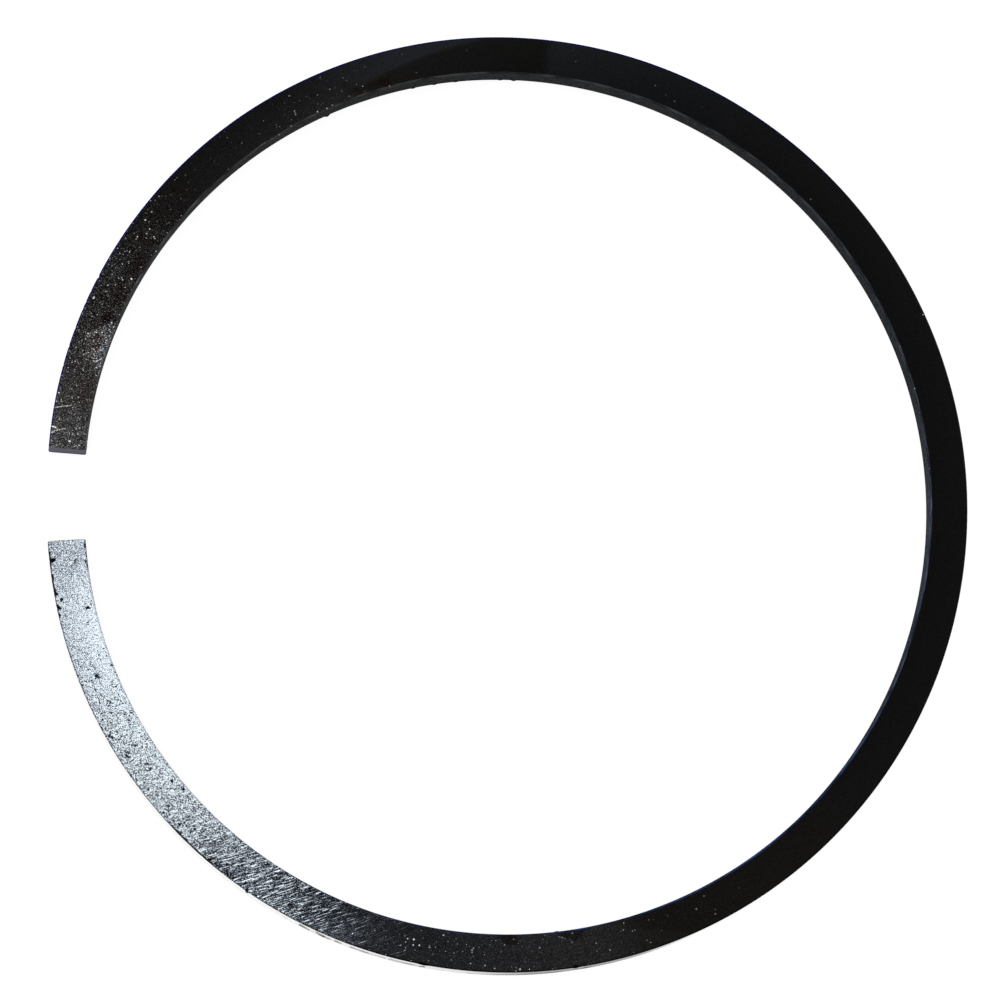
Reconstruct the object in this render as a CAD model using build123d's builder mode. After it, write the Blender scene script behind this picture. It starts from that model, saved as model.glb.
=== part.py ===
from build123d import *
from math import atan2, cos, degrees, pi, sin
import os

# Split seal ring of rectangular section, lying flat in its free, sprung-open state.
# The frame has +Z up out of the upper side face, the end gap at -X,
# and the origin at the middle of the ring's outline on its lower side face.
# All sizes are in millimetres.

# Driving dimensions
closed_diameter = 115.0  # outer diameter with the ring closed in its bore
radial_width = 4.8  # from the outer face to the inner face
axial_width = 4.0  # from side face to side face
free_gap = 11.6  # between the ends on the middle line, ring free
closed_gap = 0.35  # between the ends in the bore
ovality = -0.25  # swell along the gap axis, beyond the shape that even spring pressure needs
edge_chamfer = 0.2  # break on the edges of both side faces
side_corner_radius = 0.05  # corners of each side face, inside the chamfer
curve_points = 49  # points that carry each free-form curve

# The middle line keeps its length as the ring springs open from its closed circle
middle_radius = closed_diameter / 2 - radial_width / 2
end_angle = pi - closed_gap / (2 * middle_radius)


def free_shift(angle, opening):
    """Radial and tangential shift of the middle line at an angle from the ring's back.

    The terms in opening are the free shape of a ring that presses evenly on its bore.
    """
    radial = opening * (1 + angle * sin(angle) / 2) + ovality * cos(2 * angle)
    tangential = opening * (angle + (sin(angle) - angle * cos(angle)) / 2)
    tangential += ovality * sin(2 * angle) / 2
    return radial, tangential


def free_section(angle, opening):
    """Middle point of the section there, and the direction of its outward normal as an angle."""
    radial, tangential = free_shift(angle, opening)
    radius = middle_radius + radial
    polar = angle - tangential / middle_radius
    radial_rate = opening * (sin(angle) + angle * cos(angle)) / 2 - 2 * ovality * sin(2 * angle)
    polar_rate = 1 - radial / middle_radius
    normal = polar - atan2(radial_rate, radius * polar_rate)
    return radius * cos(polar), radius * sin(polar), normal


def opening_for(gap):
    """Opening that sets the two ends of the middle line a gap apart.

    The first guess is exact for a small gap, and each round brings it nearer.
    """
    round_count = 6
    opening = gap / (3 * pi)
    for _ in range(round_count):
        half_gap = free_section(end_angle, opening)[1]
        opening *= gap / (2 * half_gap)
    return opening


def free_curve(proud, opening):
    """Points of the curve that stands proud of the middle line by a constant distance."""
    points = []
    for step in range(curve_points):
        angle = end_angle * (2 * step / (curve_points - 1) - 1)
        x, y, normal = free_section(angle, opening)
        points.append((x + proud * cos(normal), y + proud * sin(normal)))
    return points


# The outline: two free-form curves, and two ends cut square to them
ring_opening = opening_for(free_gap)
outer_points = free_curve(radial_width / 2, ring_opening)
inner_points = free_curve(-radial_width / 2, ring_opening)
with BuildSketch() as outline:
    with BuildLine():
        Spline(*outer_points)
        Line(outer_points[-1], inner_points[-1])
        Spline(*inner_points)
        Line(inner_points[0], outer_points[0])
    make_face()
outline_middle = outline.sketch.bounding_box().center()

# The ring, placed with the origin in the middle of its outline
with BuildPart() as seal_ring:
    with BuildSketch(Plane(origin=(-outline_middle.X, -outline_middle.Y, 0))):
        add(outline.sketch)
    extrude(amount=axial_width)
    fillet(seal_ring.edges().filter_by(Axis.Z), radius=side_corner_radius + edge_chamfer)
    chamfer(seal_ring.faces().filter_by(Axis.Z).edges(), length=edge_chamfer)
seal_ring.part.label = "seal_ring"

# What the free ring measures, to set against the sizes above
end_x, end_y, end_normal = free_section(end_angle, ring_opening)
box = seal_ring.part.bounding_box()
print("free gap", round(2 * end_y, 3), "mm")
print("lean of each end", round(180 - degrees(end_normal), 3), "degrees")
print("outline", round(box.size.X, 3), "by", round(box.size.Y, 3), "by", round(box.size.Z, 3), "mm")

os.makedirs("parts", exist_ok=True)
export_step(seal_ring.part, "parts/seal_ring.step")
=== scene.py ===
"""Looks of a split metal seal ring, lying flat and sprung open.

The ring is one bar of rectangular section, bent to its free shape. Its mesh is made along the
straight bar first, with the pits, chips and burrs that the real one has, and then bent.
Bar coordinates are in millimetres: along from the lower end, across from the middle line
outwards, and height above the lower side. Tones are in stops: 0 is a middle grey, and each
stop down is half as bright.
"""

import logging
import math
from collections.abc import Callable
from dataclasses import dataclass, field, fields, replace
from enum import Enum
from functools import reduce

import bpy
import numpy as np
from mathutils import Matrix, Vector


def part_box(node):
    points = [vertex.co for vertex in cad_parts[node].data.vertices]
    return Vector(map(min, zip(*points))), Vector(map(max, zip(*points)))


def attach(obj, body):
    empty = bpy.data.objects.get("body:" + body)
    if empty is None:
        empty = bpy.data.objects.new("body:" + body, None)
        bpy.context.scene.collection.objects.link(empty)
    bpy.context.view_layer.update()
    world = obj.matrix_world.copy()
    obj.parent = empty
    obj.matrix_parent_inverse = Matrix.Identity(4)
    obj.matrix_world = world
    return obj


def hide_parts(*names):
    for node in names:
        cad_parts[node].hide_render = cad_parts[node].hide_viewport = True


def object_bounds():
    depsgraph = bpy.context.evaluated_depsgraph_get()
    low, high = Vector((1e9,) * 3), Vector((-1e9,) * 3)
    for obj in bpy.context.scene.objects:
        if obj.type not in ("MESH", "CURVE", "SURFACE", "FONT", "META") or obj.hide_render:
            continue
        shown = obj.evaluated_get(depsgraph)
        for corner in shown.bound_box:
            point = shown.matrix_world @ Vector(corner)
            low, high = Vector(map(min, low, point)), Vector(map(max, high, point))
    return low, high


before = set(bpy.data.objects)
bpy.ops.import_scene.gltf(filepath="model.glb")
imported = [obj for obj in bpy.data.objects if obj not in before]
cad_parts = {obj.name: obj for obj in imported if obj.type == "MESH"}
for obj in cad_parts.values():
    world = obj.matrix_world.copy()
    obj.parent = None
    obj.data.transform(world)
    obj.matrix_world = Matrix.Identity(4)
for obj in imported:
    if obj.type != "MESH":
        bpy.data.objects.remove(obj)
cad_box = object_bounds()

MM = 0.001
LOG = logging.getLogger("seal_ring")

Array = np.ndarray
Row = tuple[float, ...]
Socket = bpy.types.NodeSocket
Feed = Socket | float | Row


class Zone(Enum):
    """The surfaces of the bar, in the order of the mesh's material slots."""

    UPPER_SIDE = 0
    OUTER_FACE = 1
    LOWER_SIDE = 2
    INNER_FACE = 3
    END_FACE = 4


class Edge(Enum):
    """The two long edges of the upper side, by the sign of across."""

    OUTER = 1
    INNER = -1


def smooth_step(value: Array, low: float, high: float) -> Array:
    """Rises smoothly from 0 at low to 1 at high."""
    share = np.clip((value - low) / (high - low), 0.0, 1.0)
    return share * share * (3.0 - 2.0 * share)


def made(kind: Callable, *rows: tuple) -> tuple:
    """Makes one mark or stop from each row of its values, in the order of its fields."""
    return tuple(kind(*row) for row in rows)


def between(stops: tuple, along: Array) -> dict[str, Array]:
    """Reads every field of a line of stops at places between them, by the field's name."""
    lists = {item.name: [getattr(stop, item.name) for stop in stops] for item in fields(stops[0])}
    return {name: np.interp(along, lists["along"], values) for name, values in lists.items()}


def add_object(name: str, data: bpy.types.ID) -> bpy.types.Object:
    """Adds an object to the scene.

    Args:
        name: Its name.
        data: Its mesh, lamp or camera.

    Returns:
        The object.
    """
    item = bpy.data.objects.new(name, data)
    bpy.context.scene.collection.objects.link(item)
    return item


@dataclass(frozen=True)
class RingSizes:
    """Real sizes of the ring, in millimetres."""

    closed_diameter: float = 115.0
    radial_width: float = 4.8
    axial_width: float = 4.0
    free_gap: float = 11.6
    closed_gap: float = 0.35
    ovality: float = -0.25
    corner_radius: float = 0.25

    @property
    def half_width(self) -> float:
        """Half the radial width."""
        return self.radial_width / 2

    @property
    def middle_radius(self) -> float:
        """Radius of the middle line with the ring closed."""
        return self.closed_diameter / 2 - self.half_width

    @property
    def end_angle(self) -> float:
        """Angle from the ring's back to either end."""
        return math.pi - self.closed_gap / (2 * self.middle_radius)

    @property
    def bar_length(self) -> float:
        """Length of the middle line from end to end."""
        return 2 * self.end_angle * self.middle_radius


class FreeShape:
    """The free shape of the ring, and the bend that takes the straight bar to it."""

    def __init__(self, sizes: RingSizes, low: Vector, high: Vector) -> None:
        """Works out the opening of the free ring and where it lies.

        Args:
            sizes: Real sizes of the ring.
            low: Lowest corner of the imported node, in metres.
            high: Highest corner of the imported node, in metres.
        """
        self.sizes = sizes
        self.opening = self.opening_for(sizes.free_gap)
        check_points = 1441
        angles = np.linspace(-sizes.end_angle, sizes.end_angle, check_points)
        x, y, normal = self.section(angles)
        outer_x = x + sizes.half_width * np.cos(normal)
        outer_y = y + sizes.half_width * np.sin(normal)
        self.shift_x = (low.x + high.x) / (2 * MM) - (outer_x.max() + outer_x.min()) / 2
        self.shift_y = (low.y + high.y) / (2 * MM) - (outer_y.max() + outer_y.min()) / 2
        self.floor = low.z / MM

    def opening_for(self, gap: float) -> float:
        """Opening that sets the ends of the middle line a gap apart.

        Args:
            gap: The free gap on the middle line.

        Returns:
            The opening, in millimetres.
        """
        round_count = 6
        opening = gap / (3 * math.pi)
        for _ in range(round_count):
            self.opening = opening
            half_gap = self.section(np.array([self.sizes.end_angle]))[1][0]
            opening *= gap / (2 * half_gap)
        return opening

    def section(self, angle: Array) -> tuple[Array, Array, Array]:
        """Middle point of the section at an angle from the ring's back.

        Args:
            angle: Angles along the closed ring, 0 at its back.

        Returns:
            The two places in the plane, and the direction of the outward normal.
        """
        sizes = self.sizes
        sine, cosine = np.sin(angle), np.cos(angle)
        radial = self.opening * (1 + angle * sine / 2) + sizes.ovality * np.cos(2 * angle)
        tangential = self.opening * (angle + (sine - angle * cosine) / 2)
        tangential += sizes.ovality * np.sin(2 * angle) / 2
        radius = sizes.middle_radius + radial
        polar = angle - tangential / sizes.middle_radius
        radial_rate = self.opening * (sine + angle * cosine) / 2
        radial_rate -= 2 * sizes.ovality * np.sin(2 * angle)
        polar_rate = 1 - radial / sizes.middle_radius
        normal = polar - np.arctan2(radial_rate, radius * polar_rate)
        return radius * np.cos(polar), radius * np.sin(polar), normal

    def bend(self, bar: Array) -> Array:
        """Takes points of the straight bar to the free ring.

        Args:
            bar: Points in bar coordinates, one a row.

        Returns:
            Points in the row frame, one a row, in metres.
        """
        angle = bar[:, 0] / self.sizes.middle_radius - self.sizes.end_angle
        x, y, normal = self.section(angle)
        x += bar[:, 1] * np.cos(normal) + self.shift_x
        y += bar[:, 1] * np.sin(normal) + self.shift_y
        return np.column_stack([x, y, bar[:, 2] + self.floor]) * MM


@dataclass(frozen=True)
class Pit:
    """A pore, a dent, a chip or a rust spot in the upper side, as an uneven oval.

    Attributes:
        along: Place of its middle along the bar.
        across: Place of its middle across the bar.
        length: Its longer size.
        width: Its shorter size.
        depth: How deep it is, or how strong the rust is.
        turn: Angle of its length from the bar, in degrees, positive towards the outer edge.
        wobble: Phase of its uneven rim.
        dark: How much painted shade it holds, from 0 to 1.
    """

    along: float
    across: float
    length: float
    width: float
    depth: float
    turn: float = 0.0
    wobble: float = 0.0
    dark: float = 1.0

    def reach(self, along: Array, across: Array) -> Array:
        """Distance from the pit's middle, where 1 is its rim.

        Args:
            along: Places along the bar.
            across: Places across the bar.

        Returns:
            Distances in shares of the pit's own size.
        """
        turn = math.radians(self.turn)
        step, side = along - self.along, across - self.across
        lengthwise = (step * math.cos(turn) + side * math.sin(turn)) / (self.length / 2)
        crosswise = (side * math.cos(turn) - step * math.sin(turn)) / (self.width / 2)
        bearing = np.arctan2(crosswise, lengthwise)
        rim = 1 + 0.2 * np.sin(3 * bearing + self.wobble) + 0.12 * np.sin(5 * bearing - self.wobble)
        return np.hypot(lengthwise, crosswise) / rim


@dataclass(frozen=True)
class Burr:
    """A small nib that stands out from an edge of the bar, or a nick if it is negative.

    Attributes:
        edge: The edge that it is on.
        along: Its place along the bar.
        length: How long it is.
        stand_out: How far it stands out.
        low: Whether it is on the lower side instead of the upper.
    """

    edge: Edge
    along: float
    length: float
    stand_out: float
    low: bool = False


@dataclass(frozen=True)
class Mark:
    """A straight mark: a scratch with a painted glint, a dark smear, or a painted glint speck if it
    ends where it starts.

    Attributes:
        start: Where it starts: along, and across or in height.
        end: Where it ends.
        width: How wide it is.
        strength: How much it shows, where 1 is fully.
    """

    start: Row
    end: Row
    width: float
    strength: float

    def squeezed(self, share: float) -> "Mark":
        """Gives the same mark with its second direction and its width squeezed to a share."""
        start, end = ((along, other * share) for along, other in (self.start, self.end))
        return Mark(start, end, self.width * share, self.strength)


def glint_speck(along: float, across: float, size: float, strength: float) -> Mark:
    """Gives a round painted glint, as a mark that ends where it starts."""
    return Mark((along, across), (along, across), size, strength)


@dataclass(frozen=True)
class WallStop:
    """How the two walls of the bar look at one place along it.

    Attributes:
        along: The place, from the lower end.
        outer: Light of the outer face, where 1 leaves it as it is.
        inner: Light of the inner face, in the same way.
        blue: How blue the inner face is, from 0 to 1.
    """

    along: float
    outer: float
    inner: float
    blue: float


@dataclass(frozen=True)
class FinishAndReflectionStop:
    """How the upper side looks at one place along the bar: its finish, and the reflection painted
    on it.

    Attributes:
        along: The place, from the lower end.
        tone: Brightness in stops, the painted reflection included.
        lean: Stops that the painted reflection gains for each millimetre towards the outer edge.
        grain: Strength of the fine grain, in stops.
        lines: Strength of the grinding lines, in stops.
        glint_specks: Share of the places for a painted glint speck that have one.
        flecks: How much of the side short painted glint flecks cover, from 0 to 1.
        warmth: How warm or cool the dark metal looks, from 1 to -1.
    """

    along: float
    tone: float
    lean: float
    grain: float
    lines: float
    glint_specks: float
    flecks: float
    warmth: float


@dataclass(frozen=True)
class Patch:
    """A lighter or darker patch of the upper side, inside all of its soft straight borders.

    Attributes:
        tone: Stops that it adds.
        flecks: What it adds to the painted glint flecks.
        warmth: What it adds to the warmth.
        borders: Each is a place along and across, the border's direction from the bar in
            degrees, with the inside on its left, and how wide the change is.
    """

    tone: float
    flecks: float
    warmth: float
    borders: tuple[Row, ...]

    def share(self, along: Array, across: Array) -> Array:
        """Gives 1 inside the patch and 0 outside it.

        Args:
            along: Places along the bar.
            across: Places across the bar.

        Returns:
            Numbers from 0 to 1.
        """
        share = np.ones_like(along)
        for place, side, direction, softness in self.borders:
            turn = math.radians(direction)
            leftward = (across - side) * math.cos(turn) - (along - place) * math.sin(turn)
            share = share * smooth_step(leftward, -softness / 2, softness / 2)
        return share


# real wear, and with it the painted reflection, glints and shade of the upper side
@dataclass
class WearAndPaintedLight:
    """Every mark of the used ring, listed one by one, and fine pores from a fixed seed."""

    sizes: RingSizes
    pits: tuple[Pit, ...] = made(
        Pit,
        # chips along the outer edge, next to the lower end
        (1.85, 2.43, 1.3, 0.44, 0.12, 0, 1), (2.45, 2.17, 0.66, 1, 0.28, 0, 0.4),
        (3.5, 2.44, 1.9, 0.46, 0.14, 0, 2.2), (4.6, 2.36, 0.8, 0.58, 0.18, 0, 3.1),
        (6.45, 2.32, 0.8, 0.68, 0.2, 0, 4.4), (6.3, 2.45, 4.8, 0.42, 0.12, 0, 1.4),
        (8.25, 2.3, 0.68, 0.74, 0.22, 0, 5), (9.35, 2.38, 0.8, 0.44, 0.16, 0, 0.8),
        # the rubbed inner edge, next to the lower end
        (3.75, -2.44, 7.6, 0.22, 0.06, 0, 0, 0.7), (0.88, -2.3, 0.55, 0.4, 0.12, 25, 2),
        (2.1, -2.4, 1.2, 0.32, 0.1, 0, 3), (3.02, -2.12, 0.52, 0.26, 0.1, 19, 1.2, 0.6),
        (3.65, -2.38, 0.8, 0.26, 0.08, 0, 4.2),
        # pores in the painted reflection at the lower end
        (7.41, 1.6, 0.42, 0.38, 0.2, 0, 0.9), (2.85, -0.83, 0.56, 0.28, 0.16, 9, 2.4, 0.5),
        (9.04, -1.4, 0.58, 0.36, 0.22, -75, 0.2), (8.72, -1.9, 0.36, 0.2, 0.1, 30, 4, 0.6),
        (17.79, 0.04, 0.78, 0.36, 0.26, -31, 1.6), (16.6, -0.05, 0.8, 0.28, 0.1, -13, 3.6, 0.3),
        (16.12, 0.33, 0.7, 0.26, 0.1, 22, 5.2, 0.3), (17.13, -2.17, 0.38, 0.3, 0.14, -67, 2.8),
        (21.4, -0.13, 0.52, 0.32, 0.12, -59, 3.7, 0.6), (20.2, -0.86, 0.26, 0.24, 0.1, 0, 5.1, 0.4),
        (25.15, 1.85, 0.5, 0.36, 0.12, -41, 0.6, 0.6),
        (26.35, 2.17, 0.82, 0.22, 0.08, -23, 2.1, 0.4), (28.38, 1.3, 0.9, 0.26, 0.12, -19, 4.8),
        (27.94, 1, 0.5, 0.28, 0.1, -49, 1.1, 0.9), (27.68, -0.19, 0.86, 0.34, 0.14, -62, 2.9, 0.7),
        (28.66, -0.21, 0.5, 0.32, 0.1, -14, 0.9, 0.4),
        (30.65, -0.36, 0.72, 0.38, 0.12, -64, 3.9, 0.4),
        (31.28, -0.12, 0.46, 0.34, 0.14, 44, 1.9, 0.8), (36.28, 0.95, 0.46, 0.3, 0.14, -72, 3.3),
        (34.19, -1.43, 0.5, 0.34, 0.16, 16, 0.3), (35.83, -1.82, 0.7, 0.42, 0.16, -18, 2.5),
        (34.33, 1.17, 0.56, 0.34, 0.1, -84, 4.2, 0.4), (38.99, 1.3, 1.05, 0.3, 0.1, -66, 1.7, 0.6),
        # the worn outer edge where the painted reflection fades
        (41.2, 2.34, 6, 0.42, 0.06, 0, 2.6, 0.5), (44.7, 2.16, 1.6, 0.46, 0.05, -13, 0.6, 0.45),
    )
    burrs: tuple[Burr, ...] = made(
        Burr,
        (Edge.OUTER, 50.4, 0.6, 0.18), (Edge.OUTER, 73.4, 0.5, 0.09), (Edge.OUTER, 91.9, 0.6, 0.11),
        (Edge.INNER, 90.1, 0.5, 0.12), (Edge.OUTER, 323.9, 0.7, -0.12),
        (Edge.OUTER, 325.9, 0.4, -0.06), (Edge.OUTER, 327.4, 0.4, -0.07),
        (Edge.OUTER, 328.3, 0.4, -0.05), (Edge.OUTER, 330.8, 0.5, -0.06),
        (Edge.OUTER, 333.2, 0.5, -0.06), (Edge.OUTER, 335.6, 0.4, -0.05),
        (Edge.INNER, 286.9, 1, 0.18, True), (Edge.INNER, 274.7, 0.8, 0.1, True),
        (Edge.INNER, 271.8, 0.8, 0.09, True), (Edge.INNER, 268.9, 0.7, 0.08, True),
        (Edge.INNER, 262.9, 0.7, 0.08, True), (Edge.INNER, 261.1, 0.9, 0.12, True),
    )
    finish_and_reflection: tuple[FinishAndReflectionStop, ...] = made(
        FinishAndReflectionStop,
        (0, -0.62, -0.1, 0.85, 0.1, 0, 0, 0), (3.5, -0.5, -0.2, 0.8, 0.1, 0, 0, 0),
        (8, 0.7, -0.45, 0.85, 0.1, 0, 0, 0), (13, 0.92, -0.6, 0.85, 0.2, 0, 0, 0),
        (22, 0.62, -0.45, 1.2, 0.4, 0, 0, 0), (34, -0.12, -0.48, 1.7, 0.9, 0, 0, 0),
        (38, -0.72, -0.3, 1.4, 1.2, 0, 0, 0), (42, -1.75, -0.18, 1.2, 1.6, 0, 0, 0),
        (44.5, -3.05, -0.25, 1, 1.9, 0, 0, 0), (47.5, -3.45, -0.15, 0.95, 2.1, 0, 0, 0),
        (50.5, -3.85, 0.22, 0.9, 2.1, 0, 0, 0), (54, -4.5, 0.3, 0.9, 2.1, 0, 0, 0),
        (56.5, -5.15, 0.3, 0.8, 1.8, 0, 0.02, -0.3), (60, -5.45, 0.25, 0.6, 1.2, 0.01, 0.05, -0.6),
        (63, -5.45, 0.4, 0.45, 0.9, 0.03, 0.06, -0.6),
        (65.5, -5.6, 0.1, 0.38, 0.6, 0.04, 0.08, -0.5),
        (68, -6.05, 0.03, 0.3, 0.4, 0.05, 0.1, -0.5),
        (72, -6.35, 0.05, 0.25, 0.2, 0.06, 0.08, -0.4), (80, -6.2, 0, 0.28, 0.1, 0.04, 0.07, -0.3),
        (96, -6.12, 0, 0.25, 0.1, 0.03, 0.06, 0), (103, -6.8, 0, 0.15, 0, 0.01, 0.02, 0.7),
        (116, -7, 0.03, 0.12, 0, 0.01, 0, 0.6), (140, -7.5, 0.05, 0.1, 0, 0, 0, 0.3),
        (165, -7.6, 0.05, 0.1, 0, 0, 0, 0), (225, -7.45, 0.1, 0.1, 0, 0.005, 0, -0.2),
        (245, -7.05, 0.1, 0.1, 0, 0.01, 0, -0.5), (262, -6.45, 0.1, 0.1, 0, 0.01, 0, -0.7),
        (276, -6.12, 0, 0.1, 0, 0.02, 0, -0.8), (284, -6.4, -0.1, 0.12, 0, 0.005, 0.01, -0.3),
        (292, -6.86, -0.17, 0.15, 0, 0.005, 0.02, 0), (308, -7.2, -0.06, 0.18, 0, 0.01, 0.04, 0.5),
        (318, -7.25, -0.02, 0.6, 0.1, 0.04, 0.29, 0.5),
        (328, -7.02, -0.03, 0.75, 0.2, 0.05, 0.4, 0.4),
        (338, -5.52, -0.04, 0.5, 0.2, 0.02, 0.26, 0.4),
        (346, -4.98, 0.05, 0.62, 0.3, 0.02, 0.36, 0.15),
    )
    patches: tuple[Patch, ...] = made(
        Patch,
        # the dark cloud on the top arc
        (-0.95, 0, 1.2, ((257.2, 0, -88, 1.6), (264.5, 2.2, 169, 0.7), (282, 0, 90, 5))),
        # the painted reflection darker along the worn outer edge, where it fades
        (-1, 0, 0, ((43.8, 1.6, -75, 0.8), (48, 1.6, 105, 0.8), (46, 1.25, 0, 0.6))),
        # painted glint flecks and warmth next to the inner edge of the top arc
        (0, 0.1, 0.3, ((276, -1, -90, 2), (294, -1, 90, 3), (285, -0.1, 184, 1.4))),
        # darker past a slanted border on the lower arc, and two darker wedges at its inner edge
        (-0.4, 0, 0.6, ((99.9, -1.1, -153, 0.8), (118, 0, 90, 30))),
        (-1, 0, 1.6, ((83, -1.55, -143, 0.2), (83, -1.05, 180, 0.2), (84.95, -1.5, 90, 0.2))),
        (-1, 0, 1.6, ((91.2, -1.45, -150, 0.2), (93.1, -1.45, 142, 0.25))),
        # near the upper end: a lighter patch with a few painted glint flecks, then the scratched
        # patch in two parts, lighter and with more of them
        (0.25, 0.1, -0.5, ((319.8, 0.5, -75, 1), (324, 0.5, 90, 2), (321, 0.1, 0, 0.6))),
        (0.8, 0.25, -0.6, ((328.9, -1.3, -115, 0.5), (334.3, -1.2, 119, 0.5),
                           (332, -0.85, 180, 0.6))),
        (0.7, 0.6, 0, ((329.9, -0.4, -136.5, 0.4), (334.4, -0.5, 119, 0.5),
                       (332.6, 0.42, 168, 0.5))),
    )
    rust: tuple[Pit, ...] = made(
        Pit,
        (320, -1.1, 4.4, 2, 0.4, 0, 1), (325, -1.15, 2.6, 1.9, 0.45, 0, 2),
        (328, -0.85, 1.8, 1.6, 0.7, 0, 3), (330.9, -0.95, 0.8, 1.9, 0.75, 12, 0.5),
        (332.3, -0.9, 1.2, 0.9, 0.45, 0, 2.5), (338.2, -1.1, 4.6, 2.3, 0.28, 0, 4),
        (38.8, -2.2, 0.4, 0.3, 1, 0, 4), (279, -1.55, 3.6, 1.2, 0.35, 0, 0.3),
        (282.8, -1.3, 2.6, 1.6, 0.45, 0, 1.7), (284, -0.3, 2, 0.9, 0.3, 0, 2.9),
        (287.7, 0.05, 2.4, 0.8, 0.35, 0, 4.6),
    )
    # real scratches, painted bright as glints
    scratch_glints: tuple[Mark, ...] = made(
        Mark,
        ((341, 2.4), (340.3, 0.2), 0.19, 0.65), ((343.9, 2.2), (343.4, 0.6), 0.18, 0.5),
        ((345.8, 2.16), (345.3, 0.95), 0.16, 0.25), ((343.25, 2.34), (343.4, 1.67), 0.26, 0.9),
        ((344.1, 2.35), (344, 1.97), 0.18, 0.6), ((330.3, 1.8), (333, 0.8), 0.18, 0.24),
        ((330.25, -0.3), (331.1, -2), 0.18, 0.3), ((333.13, -0.3), (333.65, 0.3), 0.22, 0.35),
        ((332.17, -1.88), (332.73, -1.32), 0.22, 0.4), ((333.33, -2.2), (334.07, -1.46), 0.24, 0.4),
        ((315.4, 0), (314.9, -2.1), 0.16, 0.22), ((69.3, 2.1), (71, 1.13), 0.18, 0.35),
        ((90.25, -1.74), (91.13, -1.38), 0.18, 0.4), ((91.72, -1.29), (91.98, -0.61), 0.18, 0.4),
        ((296.5, -2.2), (297.4, -2.2), 0.2, 0.45), ((287.2, -1.35), (288.3, -1.85), 0.16, 0.12),
        ((289, -0.95), (290.3, -1.5), 0.16, 0.12),
    )
    # painted glints, each a small round speck
    glint_specks: tuple[Mark, ...] = made(
        glint_speck,
        # on the lower arc
        (71.69, -0.46, 0.34, 1.2), (72.51, 0.12, 0.28, 1.05), (70.92, -0.37, 0.26, 0.9),
        (71.77, 0.23, 0.27, 0.95), (70.75, 0.08, 0.25, 0.65), (70.9, 0.78, 0.25, 0.65),
        (70.3, 0.58, 0.24, 0.45), (69.8, -0.6, 0.24, 0.5), (72.8, -0.85, 0.24, 0.45),
        (73.8, 0.13, 0.26, 0.7), (70.48, -0.62, 0.25, 0.55), (70.88, 1.11, 0.25, 0.6),
        (72.12, 0.83, 0.25, 0.55), (74.36, 0.86, 0.25, 0.5), (76.94, 0.39, 0.25, 0.6),
        (79.09, 1.48, 0.26, 0.65), (83.25, -1.05, 0.26, 0.55), (84.64, 1.78, 0.25, 0.45),
        (94.8, 0.86, 0.25, 0.45), (98.97, -1.81, 0.26, 0.7), (103.3, 0.54, 0.25, 0.4),
        # on the top arc
        (217.6, -1.5, 0.26, 0.6), (239.7, -1.13, 0.24, 0.6), (241.1, -0.8, 0.24, 0.45),
        (254, 1.44, 0.22, 0.3), (267.4, 0.79, 0.24, 0.35), (278.15, -2.2, 0.28, 0.75),
        (287.07, -2.2, 0.3, 0.7), (287.9, -1.2, 0.24, 0.4), (292.4, -2.2, 0.25, 0.45),
        (294.1, -1.3, 0.24, 0.4), (300.1, 1.14, 0.24, 0.5), (300.1, 0.3, 0.22, 0.3),
        (305.9, 0.69, 0.22, 0.3), (307.2, 1.08, 0.24, 0.5), (307.6, 0.16, 0.24, 0.35),
        # near the upper end
        (310.8, 1.03, 0.24, 0.5), (311.4, 1.69, 0.27, 0.8), (311.15, 1.4, 0.24, 0.5),
        (312.1, 1.74, 0.24, 0.4), (313.5, 1.16, 0.27, 0.8), (314.8, 1.16, 0.32, 1),
        (315.4, 0.03, 0.27, 0.75), (317, 1.35, 0.24, 0.5), (317.1, 0.74, 0.28, 0.9),
        (317.45, 0.66, 0.27, 0.8), (319.3, 0.5, 0.28, 0.8), (319.3, 1.2, 0.24, 0.4),
        (322.2, -1.47, 0.36, 1), (326.54, 1.68, 0.36, 1), (328.5, -1.64, 0.28, 0.7),
        (330.94, 0.59, 0.3, 0.75), (330.47, -0.27, 0.27, 0.6), (333.21, 0.57, 0.27, 0.6),
        (334.81, -1.69, 0.28, 0.65), (344.91, -0.15, 0.34, 1),
    )
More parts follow.
